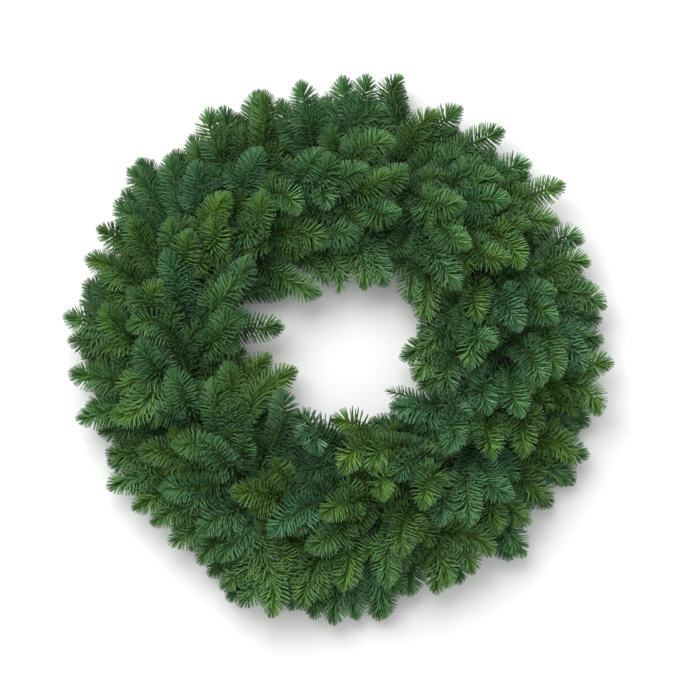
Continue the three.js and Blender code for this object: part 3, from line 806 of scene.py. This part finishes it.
def needle_turn(w, given, beside_bud):
    """How far round its twig, from the top, each needle stands: in rows, with some stray."""
    row = w.maths("MODULO", w.times(w.out("GeometryNodeInputIndex"), ROW_STEP), ROWS)
    turn = w.maths("MULTIPLY_ADD", w.plus(row, 0.5), 2.0 / ROWS, -1.0)
    on_top = w.maths("LESS_THAN", w.maths("ABSOLUTE", turn), 1.0 / ROWS)
    stray = w.maths("MULTIPLY_ADD", on_top, STRAY_ON_TOP, STRAY)
    stray = w.maths("MULTIPLY_ADD", beside_bud, STRAY_AT_BUD, stray)
    return w.plus(w.times(turn, given["Fan"]), w.times(draw(w, given, 0, -1.0, 1.0), stray))


def needle_rotation(w, given, tangent, turn, beside_bud):
    """How each needle is turned: fanned over its twig, leaning forward, most of all beside the bud."""
    side = w.vector("NORMALIZE", w.vector("CROSS_PRODUCT", tangent, (0, 0, 1)))
    up = w.vector("CROSS_PRODUCT", side, tangent)
    aside = w.scaled(side, w.maths("SINE", turn))
    over = w.scaled(up, w.times(w.maths("COSINE", turn), given["Loft"]))
    outwards = w.vector("NORMALIZE", w.vector("ADD", aside, over))
    topside = w.maths("MAXIMUM", w.maths("COSINE", turn), 0.0)
    lean = w.ramp(topside, *TURN_LEAN, given["Foot Lean"], given["Top Lean"])
    lean = w.plus(lean, w.times(w.maths("SUBTRACT", given["Bud Lean"], lean), beside_bud))
    lean = w.plus(lean, draw(w, given, 1, *LEAN_SPREAD))
    ahead = w.scaled(tangent, w.maths("COSINE", lean))
    direction = w.vector("ADD", ahead, w.scaled(outwards, w.maths("SINE", lean)))
    turned = w.out("FunctionNodeAlignRotationToVector", {"Vector": direction}, axis="Z")
    bent_towards = w.vector("ADD", up, w.scaled(tangent, given["Forward Sweep"]))
    align = {"Rotation": turned, "Vector": bent_towards}
    return w.out("FunctionNodeAlignRotationToVector", align, axis="X", pivot_axis="Z")


def needle_column(w, given, turn):
    """Each needle's own column of the palette: its hue, and in it its shade, paler towards the tip, with painted shade
    that makes needles paler on top of the twig and darker under it and low over the floor.
    """
    from_tip = w.attribute("from_tip")
    tone = w.plus(w.attribute("tone"), draw(w, given, 3, *TONE_SPREAD), w.ramp(from_tip, *TIP_TONE))
    tone = w.ramp(tone, *TONE_RANGE, 0.0, TONES - LEFT_OVER)
    shade = w.plus(
        w.ramp(from_tip, *TIP_SHADE),
        draw(w, given, 4, *NEEDLE_SHADES),
        # painted shade: paler on top of the twig, darker under it
        w.ramp(w.maths("COSINE", turn), *PAINTED_ROW_SHADE),
        w.attribute("shade"),
        # painted shade: darker low over the floor
        w.ramp(w.split(w.out("GeometryNodeInputPosition"))[2], *PAINTED_LOW_SHADE),
    )
    shade = w.times(w.maths("MINIMUM", w.maths("MAXIMUM", shade, 0.0), 1.0), SHADES - LEFT_OVER)
    return w.maths("MULTIPLY_ADD", w.maths("FLOOR", tone), SHADES, w.maths("FLOOR", shade))


def needles_on(w, given, curves):
    points, tangent = leafy_points(w, given, curves)
    beside_bud = w.ramp(w.attribute("from_tip"), *BESIDE_BUD)
    turn = needle_turn(w, given, beside_bud)
    size = w.times(w.attribute("vigour"), draw(w, given, 2, *SIZE_SPREAD))
    size = w.times(size, w.ramp(w.attribute("from_tip"), *TIP_SIZE))
    needle, along, around = needle_shape(w, given["Needle Length"], given["Needle Width"])
    rotation = needle_rotation(w, given, tangent, turn, beside_bud)
    inputs = {"Points": points, "Instance": needle, "Rotation": rotation, "Scale": size}
    needles = w.out("GeometryNodeInstanceOnPoints", inputs)
    needles = w.store(needles, "column", needle_column(w, given, turn), "INSTANCE")
    needles = w.out("GeometryNodeRealizeInstances", {"Geometry": needles})
    needles = coloured(w, needles, w.attribute("column"), around, along)
    needles = w.out("GeometryNodeSetShadeSmooth", {0: needles, 2: False})
    return w.store(needles, "is needle", 1.0, "FACE")


def socket_name(value):
    return value.replace("_", " ").title()


def spray_tree():
    """The tree that turns lines of twigs into bark, needles and buds."""
    tree = bpy.data.node_groups.new("Leafy spray", "GeometryNodeTree")
    group_input(tree, "Twigs", "NodeSocketGeometry")
    for value in WreathFoliage.__annotations__:
        group_input(tree, socket_name(value), "NodeSocketInt" if value == "seed" else "NodeSocketFloat")
    for part in ("Needle", "Bark", "Bud"):
        group_input(tree, f"{part} Material", "NodeSocketMaterial")
    tree.interface.new_socket(name="Spray", in_out="OUTPUT", socket_type="NodeSocketGeometry")
    w = Wiring(tree)
    given = w.add("NodeGroupInput").outputs
    curves = w.out("GeometryNodeMeshToCurve", {"Mesh": given["Twigs"]})
    spray = w.join(buds_on(w, given, curves), needles_on(w, given, curves), bark_on(w, curves))
    spray = w.out("GeometryNodeRealizeInstances", {"Geometry": spray})
    for part, chosen in (("Bark", True), ("Needle", w.attribute("is needle")), ("Bud", w.attribute("is bud"))):
        inputs = {"Geometry": spray, "Selection": chosen, "Material": given[f"{part} Material"]}
        spray = w.out("GeometryNodeSetMaterial", inputs)
    w.add("NodeGroupOutput", {"Spray": spray})
    return tree


def drop_empty_slots(mesh):
    """Takes out the slots that no material fills, which joined primitives leave."""
    filled = [i for i, material in enumerate(mesh.materials) if material]
    places = np.zeros(len(mesh.materials), np.int32)
    places[filled] = range(len(filled))
    used = np.empty(len(mesh.polygons), np.int32)
    mesh.polygons.foreach_get("material_index", used)
    materials = [mesh.materials[i] for i in filled]
    mesh.materials.clear()
    for material in materials:
        mesh.materials.append(material)
    mesh.polygons.foreach_set("material_index", places[used])


def finished(lines, tree, values):
    """Runs the tree on the lines and keeps what it makes as a plain mesh."""
    modifier = lines.modifiers.new(tree.name, "NODES")
    modifier.node_group = tree
    for item in tree.interface.items_tree:
        if item.item_type == "SOCKET" and item.in_out == "INPUT" and item.name in values:
            modifier[item.identifier] = values[item.name]
    lines.update_tag()
    evaluated = lines.evaluated_get(bpy.context.evaluated_depsgraph_get())
    mesh = bpy.data.meshes.new_from_object(evaluated)
    lines.modifiers.clear()
    old = lines.data
    lines.data = mesh
    mesh.name = lines.name
    bpy.data.meshes.remove(old)
    drop_empty_slots(mesh)
    for name in set(WORKING_VALUES) & set(mesh.attributes.keys()):
        mesh.attributes.remove(mesh.attributes[name])
    return lines


# === Materials ===

GRAIN_DETAIL = 3.0
GRAIN_SPAN = (0.3, 0.7)  # where most of a grain lies
# Ramps of the needles' looks: two values of what they follow, and what each gives.
SHADE_VALUE = (0, 1, 0.0, 1.68)
SHADE_ROUGHNESS = (0, 1, 0.5, 0.33)
GRAIN_VALUE = (*GRAIN_SPAN, -0.1, 0.1)
GRAIN_ROUGHNESS = (0, 1, 0, 0.1)
ROOT_FADE = (0.0, 0.5, 0.7, 0.0)
# painted sheen: how much of the paler point colour a needle takes, by how far along it is
PAINTED_SHEEN_FADE = (0.5, 1.0, 0.0, 0.45)
BAND_START, BAND_END = (0.12, 0.2), (0.34, 0.42, 0.14, 0.0)
KEEL = (0.35, 0.5, 1.0, 0.0)
NEEDLE_SHINE = 0.27
YOUNG_RIDGES = 0.92  # share of young bark without furrows
WORN_METAL = 0.8


def grain_group():
    """A fine natural grain, and the patches where it stands highest."""
    tree = bpy.data.node_groups.get("Grain")
    if tree:
        return tree
    tree = bpy.data.node_groups.new("Grain", "ShaderNodeTree")
    group_input(tree, "Place", "NodeSocketVector")
    group_input(tree, "Stretch", "NodeSocketVector", (1, 1, 1))
    for name, default in (("Fineness", 1.0), ("Patch Start", 0.4), ("Patch End", 0.6)):
        group_input(tree, name, default=default)
    for name in ("Grain", "Patches"):
        tree.interface.new_socket(name=name, in_out="OUTPUT", socket_type="NodeSocketFloat")
    w = Wiring(tree)
    given = w.add("NodeGroupInput").outputs
    place = w.vector("MULTIPLY", given["Place"], given["Stretch"])
    grain = w.out("ShaderNodeTexNoise", {"Vector": place, "Scale": given["Fineness"], "Detail": GRAIN_DETAIL})
    patches = w.ramp(grain, given["Patch Start"], given["Patch End"])
    w.add("NodeGroupOutput", {"Grain": grain, "Patches": patches})
    return tree


def grain_at(w, place, **values):
    """The grain of one material. Its values go to the inputs that they are named for."""
    inputs = {"Place": place, **{socket_name(name): value for name, value in values.items()}}
    return w.add("ShaderNodeGroup", inputs, node_tree=grain_group()).outputs


def new_material(name):
    material = bpy.data.materials.new(name)
    material.use_nodes = True
    return material, Wiring(material.node_tree), material.node_tree.nodes["Principled BSDF"].inputs


def palette(w):
    return w.out("ShaderNodeUVMap", uv_map=UV)


def grained(w, shader, grain, tint, rough, strength, depth):
    """Gives a surface its colour, and the roughness and relief that follow its grain."""
    w.feed(shader["Base Color"], tint)
    w.feed(shader["Roughness"], w.ramp(grain["Grain"], *GRAIN_SPAN, *rough))
    w.feed(shader["Normal"], w.bump(grain["Grain"], strength, depth))


def needle_material(colours):
    """Waxy needles: each keeps its own hue and its shade, which carries painted shade, browner at its root, with a
    painted sheen that makes it paler towards its point, and with pale bands.
    """
    material, w, shader = new_material("Fir needles")
    place = palette(w)
    across, along, _ = w.split(place)
    scaled = w.times(across, COLUMNS)
    column = w.maths("FLOOR", scaled)
    tone = w.maths("DIVIDE", w.maths("FLOOR", w.maths("DIVIDE", column, SHADES)), TONES - 1.0)
    shade = w.maths("DIVIDE", w.maths("MODULO", column, SHADES), SHADES - 1.0)
    around = w.maths("DIVIDE", w.maths("SUBTRACT", w.maths("FRACT", scaled), COLUMN_MARGIN), COLUMN_FILLED)
    from_edge = w.maths("PINGPONG", w.times(around, NEEDLE_SIDES), 0.5)
    grain = grain_at(w, place, stretch=(COLUMNS, 6.0, 1.0), fineness=1.7)["Grain"]

    hues = w.mix(tone, colours.blue_green, colours.yellow_green)
    bright = w.plus(w.ramp(shade, *SHADE_VALUE), w.ramp(grain, *GRAIN_VALUE))
    dim = w.out("ShaderNodeHueSaturation", {"Color": hues, "Value": bright})
    rooted = w.mix(w.ramp(along, *ROOT_FADE), dim, colours.needle_root)
    # painted sheen: paler towards each needle's point
    with_painted_sheen = w.mix(w.ramp(along, *PAINTED_SHEEN_FADE), rooted, colours.painted_point_sheen)
    bands = w.times(w.ramp(from_edge, *BAND_START), w.ramp(from_edge, *BAND_END))
    w.feed(shader["Base Color"], w.mix(bands, with_painted_sheen, colours.needle_band))
    w.feed(shader["Roughness"], w.plus(w.ramp(shade, *SHADE_ROUGHNESS), w.ramp(grain, *GRAIN_ROUGHNESS)))
    w.feed(shader["Normal"], w.bump(w.ramp(from_edge, *KEEL), 0.4, 0.0001))
    shader["Specular IOR Level"].default_value = NEEDLE_SHINE
    return material


def bark_material(colours):
    """Bark with fine ridges along the twig, greener where it is young."""
    material, w, shader = new_material("Fir bark")
    place = palette(w)
    grain = grain_at(w, place, stretch=(900.0, 24.0, 1.0), patch_start=0.35, patch_end=0.65)
    young = w.maths("GREATER_THAN", w.split(place)[0], YOUNG_BARK / COLUMNS)
    ridges = w.mix(young, colours.bark_light, colours.bark_young)
    ridged = w.maths("MAXIMUM", grain["Patches"], w.times(young, YOUNG_RIDGES))
    tint = w.mix(ridged, colours.bark_dark, ridges)
    grained(w, shader, grain, tint, rough=(0.85, 0.65), strength=0.6, depth=0.0005)
    return material


def bud_material(colours):
    """Buff resinous buds, mottled."""
    material, w, shader = new_material("Fir buds")
    grain = grain_at(w, palette(w), fineness=90.0, patch_start=0.35, patch_end=0.65)
    tint = w.mix(grain["Patches"], colours.bark_dark, colours.bud)
    grained(w, shader, grain, tint, rough=(0.55, 0.38), strength=0.5, depth=0.0003)
    return material


def wire_material(colours):
    """Dark green enamel, worn a little where it was bent."""
    material, w, shader = new_material("Enamelled wire")
    place = w.add("ShaderNodeTexCoord").outputs["Object"]
    wear = grain_at(w, place, fineness=260.0, patch_start=0.62, patch_end=0.68)
    tint = w.mix(wear["Patches"], colours.wire, colours.wire_worn)
    grained(w, shader, wear, tint, rough=(0.35, 0.55), strength=0.2, depth=0.0004)
    w.feed(shader["Metallic"], w.times(wear["Patches"], WORN_METAL))
    return material


# === The add-on ===


def length(name, description, default, low=0.0):
    return FloatProperty(name=name, description=description, default=default, min=low, unit="LENGTH")


def angle(name, description, degrees):
    return FloatProperty(name=name, description=description, default=math.radians(degrees), unit="ROTATION")


def share(name, description, default):
    return FloatProperty(name=name, description=description, default=default, subtype="FACTOR")


def colour(name, description, default):
    limits = {"size": 4, "min": 0, "max": 1}
    return FloatVectorProperty(name=name, description=description, default=default, subtype="COLOR", **limits)


class WreathFoliage(PropertyGroup):
    """How the needles and buds of every spray are made."""

    needle_length: length("Needle Length", "Length of a full-grown needle", 0.0188, 0.005)
    needle_width: length("Needle Width", "Width of a needle at its widest", 0.0027, 0.0003)
    needle_spacing: length("Needle Spacing", "Distance along a twig from one needle to the next", 0.00046, 0.0002)
    foot_lean: angle("Lean", "Angle between a needle and its twig", 72)
    top_lean: angle("Lean on Top", "The same angle on top of the twig", 42)
    bud_lean: angle("Lean at Bud", "The same angle beside the bud", 6)
    fan: angle("Fan", "How far round the twig the needles stand, on each side of its top", 128)
    loft: share("Loft", "How far the needles stand up, from flat to round", 0.55)
    forward_sweep: share("Forward Sweep", "How much the needles bend forward, against up", 0.8)
    bud_length: length("Bud Length", "Length of the buds at a twig's end", 0.0045, 0.001)
    seed: IntProperty(name="Seed", description="Changes how the needles vary", default=3)


class WreathColours(PropertyGroup):
    """The wreath's colours."""

    blue_green: colour("Blue Green", "Needles of the bluest shoots", (0.062, 0.188, 0.095, 1))
    yellow_green: colour("Yellow Green", "Needles of the yellowest shoots", (0.101, 0.208, 0.022, 1))
    needle_root: colour("Needle Root", "Where a needle leaves its twig", (0.085, 0.16, 0.022, 1))
    # painted sheen: a paler colour towards each needle's point
    painted_point_sheen: colour("Painted Point Sheen", "Towards a needle's point", (0.20, 0.38, 0.19, 1))
    needle_band: colour("Needle Bands", "The pale bands along each side of a needle", (0.115, 0.29, 0.12, 1))
    bark_dark: colour("Dark Bark", "Bark in its furrows", (0.035, 0.028, 0.014, 1))
    bark_light: colour("Light Bark", "Bark on its ridges", (0.11, 0.09, 0.045, 1))
    bark_young: colour("Young Bark", "Bark between the needles", (0.06, 0.125, 0.02, 1))
    bud: colour("Buds", "Resinous buds", (0.17, 0.12, 0.05, 1))
    wire: colour("Wire", "Enamelled wire", (0.018, 0.045, 0.026, 1))
    wire_worn: colour("Worn Wire", "Bare steel where the enamel has worn off", (0.32, 0.31, 0.29, 1))


class WreathStage(PropertyGroup):
    """Camera, lamp and floor."""

    camera_distance: length("Camera Distance", "Height of the camera over the foliage", 4.0)
    lamp_power: FloatProperty(name="Lamp", description="Power of the large soft lamp", default=130, unit="POWER")
    sky: FloatProperty(name="Surroundings", description="Brightness of the white surroundings", default=0.74)
    floor: colour("Floor", "The pale floor", (0.9, 0.9, 0.9, 1))


SEEDS_APART = 10


def dress_sprays(kind):
    """Makes the foliage of one kind of spray, one piece for each spray."""
    foliage, colours = bpy.context.scene.wreath_foliage, bpy.context.scene.wreath_colours
    tree = bpy.data.node_groups.get("Leafy spray") or spray_tree()
    laying = Laying()
    values = {socket_name(name): getattr(foliage, name) for name in WreathFoliage.__annotations__}
    values["Needle Material"] = bpy.data.materials.get("Fir needles") or needle_material(colours)
    values["Bark Material"] = bpy.data.materials.get("Fir bark") or bark_material(colours)
    values["Bud Material"] = bpy.data.materials.get("Fir buds") or bud_material(colours)
    for bunch in range(BUNCHES):
        node = numbered(kind, bunch)
        values["Seed"] = foliage.seed + SEEDS_APART * bunch
        piece = finished(line_object(f"{node}_foliage", spray_axes(node, laying)), tree, values)
        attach(piece, "root")
        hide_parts(node)


class WREATH_OT_ring_and_clamps(Operator):
    """Give the wire ring and its clamps their enamel"""

    bl_idname = "wreath.ring_and_clamps"
    bl_label = "Ring and Clamps"

    def execute(self, context):
        enamel = wire_material(context.scene.wreath_colours)
        for name in ["wire_ring"] + [numbered("clamp", bunch) for bunch in range(BUNCHES)]:
            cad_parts[name].material_slots[0].material = enamel
        return {"FINISHED"}


class WREATH_OT_outer_sprays(Operator):
    """Dress the sprays of the outer edge"""

    bl_idname = "wreath.outer_sprays"
    bl_label = "Outer Sprays"

    def execute(self, context):
        dress_sprays("outer_spray")
        return {"FINISHED"}


class WREATH_OT_inner_sprays(Operator):
    """Dress the sprays round the hole"""

    bl_idname = "wreath.inner_sprays"
    bl_label = "Inner Sprays"

    def execute(self, context):
        dress_sprays("inner_spray")
        return {"FINISHED"}


class WREATH_OT_crown_sprays(Operator):
    """Dress the sprays on the crown"""

    bl_idname = "wreath.crown_sprays"
    bl_label = "Crown Sprays"

    def execute(self, context):
        dress_sprays("crown_spray")
        return {"FINISHED"}


# The photograph's frame: its scale, its height, and where the wreath's centre lies in it from the frame's own centre.
PHOTO_SCALE = 1.117  # millimetres to a pixel
PHOTO_HEIGHT = 700
PHOTO_CENTRE = (-3.0, 0.5)  # pixels right of and above the frame's centre
PHOTO_LEVEL = 0.045  # height over the floor at which that scale holds
SENSOR = 36.0
LAMP_PLACE = (-0.95, 2.05, 2.9)
LAMP_SIZE = 3.2
FLOOR_SIZE = 6.0
FLOOR_ROUGHNESS = 0.9


class WREATH_OT_stage(Operator):
    """Set the floor, the lamp and the camera"""

    bl_idname = "wreath.stage"
    bl_label = "Stage"

    def execute(self, context):
        scene, stage = context.scene, context.scene.wreath_stage
        self.add_floor(scene, stage)
        self.add_light(scene, stage)
        self.add_camera(scene, stage)
        scene.view_settings.view_transform = "Standard"
        return {"FINISHED"}

    @staticmethod
    def add_floor(scene, stage):
        half = FLOOR_SIZE / 2
        mesh = bpy.data.meshes.new("floor")
        mesh.from_pydata([(-half, -half, 0), (half, -half, 0), (half, half, 0), (-half, half, 0)], [], [(0, 1, 2, 3)])
        floor = bpy.data.objects.new("floor", mesh)
        scene.collection.objects.link(floor)
        material, _, shader = new_material("Pale floor")
        shader["Base Color"].default_value = stage.floor
        shader["Roughness"].default_value = FLOOR_ROUGHNESS
        mesh.materials.append(material)

    @staticmethod
    def add_light(scene, stage):
        data = bpy.data.lights.new("soft lamp", "AREA")
        data.shape, data.size, data.energy = "DISK", LAMP_SIZE, stage.lamp_power
        lamp = bpy.data.objects.new("soft lamp", data)
        lamp.location = LAMP_PLACE
        aim = -lamp.location
        lamp.rotation_euler = aim.to_track_quat("-Z", "Y").to_euler()
        scene.collection.objects.link(lamp)
        world = bpy.data.worlds.new("white surroundings")
        world.use_nodes = True
        sky = world.node_tree.nodes["Background"].inputs
        sky["Strength"].default_value = stage.sky
        sky["Color"].default_value = (1, 1, 1, 1)
        scene.world = world

    @staticmethod
    def add_camera(scene, stage):
        data = bpy.data.cameras.new("camera")
        data.sensor_width = SENSOR
        data.lens = SENSOR * stage.camera_distance / (PHOTO_HEIGHT * PHOTO_SCALE * MM)
        camera = bpy.data.objects.new("camera", data)
        right, above = (-pixels * PHOTO_SCALE * MM for pixels in PHOTO_CENTRE)
        camera.location = (right, above, PHOTO_LEVEL + stage.camera_distance)
        scene.collection.objects.link(camera)
        scene.camera = camera


class WREATH_PT_wreath(Panel):
    """Lists the wreath's pieces and their values"""

    bl_label = "Wreath"
    bl_space_type = "VIEW_3D"
    bl_region_type = "UI"
    bl_category = "Wreath"

    def draw(self, context):
        for operator in OPERATORS:
            self.layout.operator(operator.bl_idname)
        for key, group in GROUPS.items():
            box = self.layout.box()
            for name in group.__annotations__:
                box.prop(getattr(context.scene, key), name)


GROUPS = {"wreath_foliage": WreathFoliage, "wreath_colours": WreathColours, "wreath_stage": WreathStage}
OPERATORS = (
    WREATH_OT_ring_and_clamps,
    WREATH_OT_outer_sprays,
    WREATH_OT_inner_sprays,
    WREATH_OT_crown_sprays,
    WREATH_OT_stage,
)
CLASSES = (*GROUPS.values(), *OPERATORS, WREATH_PT_wreath)


def register():
    for cls in CLASSES:
        bpy.utils.register_class(cls)
    for key, group in GROUPS.items():
        setattr(bpy.types.Scene, key, PointerProperty(type=group))


def unregister():
    for key in GROUPS:
        delattr(bpy.types.Scene, key)
    for cls in reversed(CLASSES):
        bpy.utils.unregister_class(cls)


def main():
    register()
    bpy.ops.wreath.ring_and_clamps()
    bpy.ops.wreath.outer_sprays()
    bpy.ops.wreath.inner_sprays()
    bpy.ops.wreath.crown_sprays()
    bpy.ops.wreath.stage()
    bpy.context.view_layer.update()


if __name__ == "__main__":
    main()
